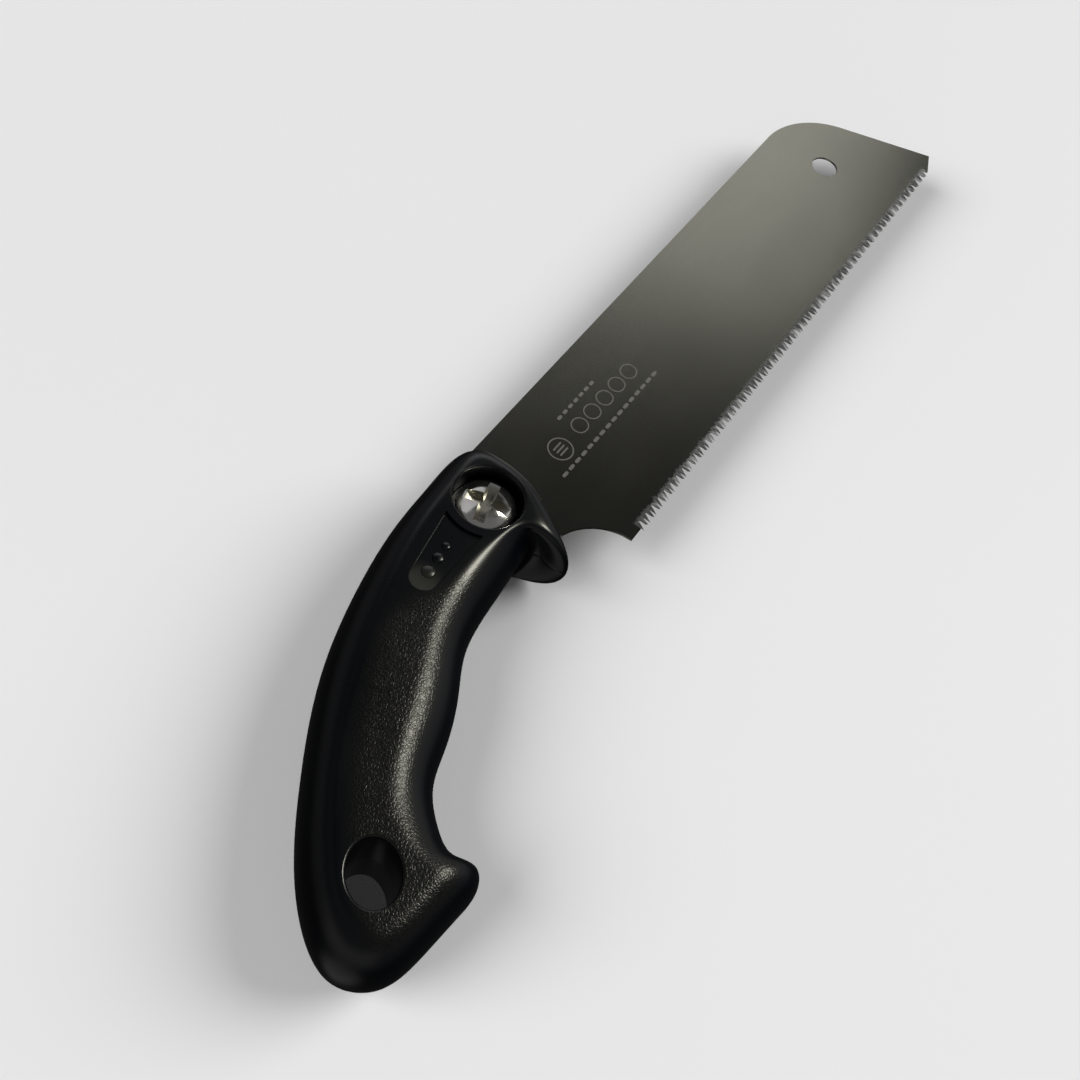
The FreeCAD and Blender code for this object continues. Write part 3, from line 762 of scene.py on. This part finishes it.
class Nodes:
    """Short calls to add nodes to a node tree."""

    def __init__(self, tree, coordinate):
        self.tree = tree
        self.position = self.node("ShaderNodeTexCoord").outputs[coordinate]

    def node(self, kind, **settings):
        """A new node with its settings."""
        made = self.tree.nodes.new(kind)
        for key, value in settings.items():
            setattr(made, key, value)
        return made

    def link(self, source, target):
        """Links an output to an input, or sets the input to a number, a vector or a colour."""
        if isinstance(source, (int, float)):
            target.default_value = source
        elif isinstance(source, (tuple, Vector)):
            missing = len(target.default_value) - len(source)
            target.default_value = (*source, *(1,) * missing)
        else:
            self.tree.links.new(source, target)

    def math(self, operation, first, second=0.0, third=0.0):
        """Arithmetic on up to three values."""
        made = self.node("ShaderNodeMath", operation=operation)
        for value, socket in zip((first, second, third), made.inputs):
            self.link(value, socket)
        return made.outputs[0]

    def stretched(self, scale, turn_deg=(0, 0, 0)):
        """Object position in units of 1 / scale, for stretched patterns."""
        made = self.node("ShaderNodeMapping")
        self.link(self.position, made.inputs["Vector"])
        made.inputs["Rotation"].default_value = [math.radians(t) for t in turn_deg]
        made.inputs["Scale"].default_value = scale
        return made.outputs[0]

    def noise(self, position, scale, detail=3.0):
        """Cloudy noise from 0 to 1."""
        made = self.node("ShaderNodeTexNoise")
        self.link(position, made.inputs["Vector"])
        made.inputs["Scale"].default_value = scale
        made.inputs["Detail"].default_value = detail
        made.inputs["Roughness"].default_value = 0.5
        return made.outputs["Fac"]

    def ramp(self, value, low, high, to_low=0.0, to_high=1.0):
        """Smooth step from to_low to to_high while the value goes from low to high."""
        made = self.node("ShaderNodeMapRange", interpolation_type="SMOOTHSTEP")
        for source, socket in zip((value, low, high, to_low, to_high), made.inputs):
            self.link(source, socket)
        return made.outputs[0]

    def blend_colour(self, share, first, second):
        """From the first colour to the second while the share goes from 0 to 1."""
        made = self.node("ShaderNodeMix", data_type="RGBA")
        self.link(share, made.inputs[0])
        self.link(first, made.inputs[6])
        self.link(second, made.inputs[7])
        return made.outputs[2]

    def vector_math(self, operation, first, second, output=0):
        """Arithmetic on two vectors."""
        made = self.node("ShaderNodeVectorMath", operation=operation)
        self.link(first, made.inputs[0])
        self.link(second, made.inputs[1])
        return made.outputs[output]

    def distance(self, point):
        """How far the position is from a point."""
        return self.vector_math("DISTANCE", self.position, point, "Value")

    def level_distance(self, point):
        """How far the position is from an upright line through a point."""
        flattened = self.vector_math("MULTIPLY", self.position, (1, 1, 0))
        return self.vector_math("DISTANCE", flattened, (*point.xy, 0), "Value")

    def towards(self, direction):
        """How nearly the position lies in a direction: 1 straight along it, 0 across it."""
        return self.vector_math("DOT_PRODUCT", self.position, direction, "Value")

    def axis(self, index):
        """One coordinate of the position."""
        made = self.node("ShaderNodeSeparateXYZ")
        self.link(self.position, made.inputs[0])
        return made.outputs[index]


class Shader(Nodes):
    """A material with a Principled shader."""

    def __init__(self, name, colour, roughness, metallic=0.0, **constants):
        self.material = bpy.data.materials.new(name)
        self.material.use_nodes = True
        super().__init__(self.material.node_tree, "Object")
        self.shader = self.tree.nodes["Principled BSDF"]
        self.shader.inputs["Base Color"].default_value = (*colour, 1)
        self.shader.inputs["Roughness"].default_value = roughness
        self.shader.inputs["Metallic"].default_value = metallic
        for socket, value in constants.items():
            self.shader.inputs[socket.replace("_", " ")].default_value = value

    def surface(self, socket, source):
        """Drives one input of the shader."""
        self.link(source, self.shader.inputs[socket])

    def bump(self, height, distance):
        """Fine relief on the surface."""
        made = self.node("ShaderNodeBump")
        self.link(height, made.inputs["Height"])
        made.inputs["Distance"].default_value = distance
        made.inputs["Strength"].default_value = 1.0
        self.surface("Normal", made.outputs[0])


def grain_cells(make):
    """Creases of the leather grain: small uneven cells, 0 in a crease and 1 on a cell."""
    warp = make.node("ShaderNodeTexNoise")
    make.link(make.position, warp.inputs["Vector"])
    warp.inputs["Scale"].default_value = 900
    bent = make.node("ShaderNodeVectorMath", operation="MULTIPLY_ADD")
    make.link(warp.outputs["Color"], bent.inputs[0])
    make.link((0.0007, 0.0007, 0.0007), bent.inputs[1])
    make.link(make.position, bent.inputs[2])
    cells = make.node("ShaderNodeTexVoronoi", feature="DISTANCE_TO_EDGE")
    make.link(bent.outputs[0], cells.inputs["Vector"])
    cells.inputs["Scale"].default_value = 1350
    return make.ramp(cells.outputs["Distance"], 0.0, 0.28)


def grained_area(make, off_middle):
    """1 on the flat sides, fading out towards the shoulders, the nose and the back."""
    flat = make.ramp(off_middle, (HALF_HANDLE - 3.2) * MM, (HALF_HANDLE - 0.3) * MM)
    not_sunk = make.ramp(off_middle, (HALF_HANDLE + 0.1) * MM, (HALF_HANDLE + 0.2) * MM, 1, 0)
    flat = make.math("MULTIPLY", flat, not_sunk)
    wander = make.math("MULTIPLY", make.noise(make.position, 160), 3.0 * MM)
    slant = make.math("ADD", make.axis(0), make.math("MULTIPLY", make.axis(1), GRAIN_EDGE_SLANT))
    edge = place(*GRAIN_EDGE)
    limit = edge.x + GRAIN_EDGE_SLANT * edge.y
    slant = make.math("ADD", slant, wander)
    near_nose = make.ramp(slant, limit - 8 * MM, limit + 8 * MM, 1, 0)
    centre, radius = circle_through(*BACK_BOW)[:2]
    off_bow = make.level_distance(place(*centre))
    back = make.ramp(off_bow, (radius - 13.0) * MM, (radius - 6.0) * MM, 1, 0)
    return make.math("MULTIPLY", make.math("MULTIPLY", flat, near_nose), back)


def handle_plastic():
    """Black moulded plastic: leather grain on the flat sides, a fine satin elsewhere."""
    make = Shader("handle_plastic", (0.008, 0.009, 0.012), 0.3, IOR=1.42)
    off_middle = make.math("ABSOLUTE", make.math("SUBTRACT", make.axis(2), SCREW_POINT.z))
    grain_share = grained_area(make, off_middle)
    creases = grain_cells(make)
    pores = make.noise(make.position, 3600, 2)
    relief = make.math("ADD", creases, make.math("MULTIPLY", pores, 0.5))
    fine = make.math("MULTIPLY", make.noise(make.position, 5200, 2), 0.10)
    height = make.math("ADD", make.math("MULTIPLY", relief, grain_share), fine)
    make.bump(height, 0.000027)
    # Painted shade: the grain's creases are painted darker than the tops of its cells.
    crease_shaded_grain = make.blend_colour(creases, (0.0015, 0.0015, 0.0017), (0.0055, 0.0055, 0.0052))
    colour = make.blend_colour(grain_share, (0.0008, 0.0014, 0.0032), crease_shaded_grain)
    # Painted sheen: a paler colour on the panel floor near its rounded end stands in for reflected
    # light.
    painted_sheen_point = place(*PANEL_PAINTED_SHEEN_SPOT, HALF_HANDLE - PANEL_DEPTH / 2)
    painted_sheen = make.ramp(make.distance(painted_sheen_point), 2.2 * MM, 6.5 * MM, 1, 0)
    sunk = make.ramp(off_middle, (HALF_HANDLE - 0.1) * MM, (HALF_HANDLE - 0.06) * MM, 1, 0)
    painted_sheen = make.math("MULTIPLY", painted_sheen, sunk)
    make.surface("Base Color", make.blend_colour(painted_sheen, colour, (0.019, 0.019, 0.0165)))
    patchy = make.math("MULTIPLY", make.noise(make.position, 60), 0.12)
    picked = make.node("ShaderNodeMix")
    make.link(grain_share, picked.inputs[0])
    make.link(make.math("ADD", 0.22, patchy), picked.inputs[2])
    make.link(make.math("ADD", 0.25, patchy), picked.inputs[3])
    make.surface("Roughness", picked.outputs[0])
    return make.material


def blade_steel():
    """Satin spring steel with fine grinding lines, and a bright ground band along the teeth."""
    make = Shader("blade_steel", (0.30, 0.29, 0.26), 0.36, 1.0)
    lines = make.noise(make.stretched((60, 4200, 200)), 1.0, 4)
    soft = make.noise(make.stretched((25, 60, 60)), 1.0, 3)
    over_teeth = make.math("SUBTRACT", make.axis(1), DRAWING_ORIGIN.y)
    streaks = make.noise(make.stretched((1900, 130, 130), (0, 0, 18)), 1.0, 2)
    ragged = make.math("MULTIPLY_ADD", streaks, 3.0 * MM, over_teeth)
    ground = make.ramp(ragged, 3.9 * MM, 4.6 * MM, 1, 0)
    along = make.axis(0)
    past_heel = make.ramp(along, place(-0.6, 0).x, place(0.1, 0).x)
    last_tooth = place(TOOTHED_LENGTH - 0.1, 0).x
    before_toe = make.ramp(along, last_tooth, place(TOE_STEP[0] + 0.2, 0).x, 1, 0)
    ground = make.math("MULTIPLY", ground, make.math("MULTIPLY", past_heel, before_toe))
    body = make.blend_colour(lines, (0.240, 0.238, 0.202), (0.270, 0.267, 0.226))
    filed = make.blend_colour(make.ramp(streaks, 0.45, 0.62), (0.3, 0.3, 0.29), (0.95, 0.95, 0.93))
    make.surface("Base Color", make.blend_colour(ground, body, filed))
    rolled = make.math("ADD", 0.17, make.math("MULTIPLY", soft, 0.08))
    make.surface("Roughness", make.math("MULTIPLY_ADD", ground, 0.25, rolled))
    make.surface("Metallic", make.math("MULTIPLY_ADD", ground, -0.5, 1.0))
    deep = make.math("MULTIPLY", make.math("MULTIPLY", streaks, ground), 3)
    make.bump(make.math("ADD", lines, deep), 0.000004)
    return make.material


def chrome():
    """Bright plating, duller in the driver recess, which is also painted darker as painted shade."""
    make = Shader("screw_chrome", (0.78, 0.77, 0.75), 0.1, 1.0)
    cloud = make.noise(make.position, 400, 4)
    plating = make.blend_colour(cloud, (0.72, 0.71, 0.69), (0.84, 0.83, 0.81))
    off_ball = make.distance(place(*SCREW_AXIS, HEAD_TOP_Z - HEAD_BALL_RADIUS))
    on_dome = make.ramp(off_ball, (HEAD_BALL_RADIUS - 0.9) * MM, (HEAD_BALL_RADIUS - 0.1) * MM)
    seat = place(0, 0, HEAD_SEAT_Z).z
    under_head = make.ramp(make.axis(2), seat, seat + 0.1 * MM, 1, 0)
    outside_shaded_recess = make.math("MAXIMUM", on_dome, under_head)
    # Painted shade: the driver recess takes a darker colour than the plating around it.
    make.surface("Base Color", make.blend_colour(outside_shaded_recess, (0.40, 0.39, 0.35), plating))
    polish = make.ramp(cloud, 0.3, 0.7, 0.09, 0.16)
    make.surface("Roughness", make.math("ADD", polish, make.ramp(outside_shaded_recess, 0, 1, 0.15, 0)))
    make.bump(make.noise(make.position, 900, 2), 0.00001)
    return make.material


def zinc():
    """Dull zinc for the small parts inside."""
    make = Shader("zinc_steel", (0.5, 0.51, 0.52), 0.35, 1.0)
    cloud = make.noise(make.position, 700, 4)
    make.surface("Base Color", make.blend_colour(cloud, (0.42, 0.43, 0.44), (0.6, 0.61, 0.62)))
    make.surface("Roughness", make.ramp(cloud, 0.3, 0.7, 0.28, 0.45))
    make.bump(cloud, 0.00002)
    return make.material


def mark_ink():
    """Silver ink, a little uneven."""
    make = Shader("mark_silver", (0.6, 0.58, 0.52), 0.5, 0.6)
    cloud = make.noise(make.position, 1500, 3)
    make.surface("Base Color", make.blend_colour(cloud, (0.45, 0.43, 0.38), (0.66, 0.64, 0.58)))
    return make.material


def floor_paint():
    """Matt pale grey that glows very faintly, so that no shadow on it is black."""
    glow = {"Emission_Color": (1, 1, 1, 1), "Emission_Strength": 0.015}
    make = Shader("pale_floor", (0.9, 0.9, 0.9), 0.7, **glow)
    cloud = make.noise(make.position, 3, 2)
    make.surface("Base Color", make.blend_colour(cloud, (0.82, 0.82, 0.82), (0.86, 0.86, 0.86)))
    return make.material


def paint(piece, material):
    """Gives the piece this material alone."""
    piece.data.materials.clear()
    piece.data.materials.append(material)


# ================================================================ assembly

def stand_in(piece, node, body, material):
    """The piece takes the place of a CAD node, with its material and body."""
    paint(piece, material)
    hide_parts(node)
    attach(piece, body)


def dress():
    """All pieces of the saw. The small parts inside keep their own meshes and get a material."""
    plastic = handle_plastic()
    steel = zinc()
    stand_in(front_shell(), "front_handle_shell", "handle", plastic)
    stand_in(rear_shell(), "rear_handle_shell", "handle", plastic)
    stand_in(blade(), "saw_blade", "blade", blade_steel())
    stand_in(clamp_screw(), "clamp_screw", "clamp_screw", chrome())
    marks = blade_marks()
    paint(marks, mark_ink())
    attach(marks, "blade")
    kept = ["front_clamp_plate", "rear_clamp_plate", "locating_pin", "clamp_nut", "shell_screws",
            "flat_washer", "spring_washer"]
    for name in kept:
        paint(frame["nodes"][name], steel)


# ================================================================ room, lights and camera

def stage_floor():
    """A wide level surface just under the saw, which shiny pieces don't reflect."""
    low = CAD_BOX[0].z - FLOOR_GAP
    reach = FLOOR_REACH
    corners = [(reach * x, reach * y, low) for x, y in ((-1, -1), (1, -1), (1, 1), (-1, 1))]
    piece = new_piece("floor", corners, [(0, 1, 2, 3)])
    paint(piece, floor_paint())
    piece.visible_glossy = False
    return piece


def area_light(name, direction, distance, size, power, colour=(1, 1, 1)):
    """A soft rectangular light that faces the middle of the object."""
    lamp = bpy.data.lights.new(name, "AREA")
    lamp.shape = "RECTANGLE"
    lamp.size, lamp.size_y = size
    lamp.energy = power
    lamp.color = colour
    holder = bpy.data.objects.new(name, lamp)
    holder.location = Vector(direction).normalized() * distance
    holder.rotation_euler = Vector(direction).to_track_quat("Z", "Y").to_euler()
    bpy.context.scene.collection.objects.link(holder)
    return holder


def light_only(holder, receivers):
    """The light falls on some objects alone. Everything still casts its shadow."""
    group = bpy.data.collections.new(holder.name + "_receivers")
    for receiver in receivers:
        group.objects.link(receiver)
    holder.light_linking.receiver_collection = group


def sun(name, direction, strength):
    """A soft light from far away, even over the whole floor."""
    lamp = bpy.data.lights.new(name, "SUN")
    lamp.energy = strength
    lamp.angle = math.radians(FLOOR_SUN_ANGLE_DEG)
    holder = bpy.data.objects.new(name, lamp)
    holder.rotation_euler = Vector(direction).to_track_quat("Z", "Y").to_euler()
    bpy.context.scene.collection.objects.link(holder)
    return holder


def lights(table):
    """Each light falls on its own group of pieces. Two suns from opposite sides light the floor."""
    pieces = [piece for piece in bpy.data.objects if piece.type == "MESH"]
    handle_parts = [piece for piece in pieces if piece.get("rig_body") in HANDLE_LAMP_BODIES]
    screw_parts = [piece for piece in handle_parts if piece["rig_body"] == "clamp_screw"]
    others = [piece for piece in pieces if piece not in (*screw_parts, table)]
    window = area_light("window", WINDOW_DIRECTION, distance=2.5, size=(1.9, 1.35), power=8.2)
    light_only(window, others)
    lamp = area_light("handle_lamp", HANDLE_LAMP_DIRECTION, distance=1.0, size=(0.22, 0.22),
                      power=6.2, colour=HANDLE_LAMP_COLOUR)
    light_only(lamp, handle_parts)
    card = area_light("screw_card", SCREW_CARD_DIRECTION, distance=1.2, size=(1.5, 1.5), power=2.5)
    light_only(card, screw_parts)
    lean_x, lean_y, up = FLOOR_SUN_LEAN
    for sign in (-1, 1):
        wash = sun(f"table_wash_{sign}", (lean_x * sign, lean_y * sign, up), strength=2.1)
        light_only(wash, [table])


def world():
    """Dim room, paler all round at the height of the horizon.

    One side has a dark screen. Straight behind the saw and straight in front of it the room is
    darker, and low down on the handle's side it has a pale patch.
    """
    made = bpy.data.worlds.new("room")
    made.use_nodes = True
    make = Nodes(made.node_tree, "Generated")
    depth = make.axis(1)
    height = make.axis(2)
    band = make.math("MULTIPLY", make.ramp(height, -0.35, 0.0), make.ramp(height, 0.3, 0.62, 1, 0))
    above = make.math("MULTIPLY", make.ramp(height, -0.05, 0.25), OVERHEAD_STRENGTH)
    unscreened = make.ramp(make.towards(SCREEN_DIRECTION), 0.72, 0.92, 1, 0)
    behind = make.ramp(depth, 0.45, 0.85, 1, 0.35)
    in_front = make.ramp(depth, -0.92, -0.6, 0.35, 1)
    unscreened = make.math("MULTIPLY", unscreened, make.math("MULTIPLY", behind, in_front))
    strength = make.math("MULTIPLY_ADD", band, HORIZON_STRENGTH, above)
    strength = make.math("MULTIPLY", strength, unscreened)
    patch = make.ramp(make.towards(PALE_PATCH_DIRECTION), 0.86, 0.97, 0, 0.3)
    strength = make.math("ADD", strength, patch)
    background = made.node_tree.nodes["Background"]
    background.inputs["Color"].default_value = (1, 1, 1, 1)
    make.link(make.math("ADD", strength, 0.02), background.inputs["Strength"])
    bpy.context.scene.world = made


def camera():
    """A viewpoint over the grip, with the blade going away up to the right."""
    data = bpy.data.cameras.new("camera")
    data.sensor_width = 36
    data.lens = CAMERA_LENS
    data.clip_start = 0.01
    holder = bpy.data.objects.new("camera", data)
    holder.location = place(*CAMERA_POINT)
    holder.rotation_euler = [math.radians(t) for t in CAMERA_TURN_DEG]
    bpy.context.scene.collection.objects.link(holder)
    bpy.context.scene.camera = holder


dress()
table = stage_floor()
lights(table)
world()
camera()
bpy.context.scene.view_settings.view_transform = "Standard"
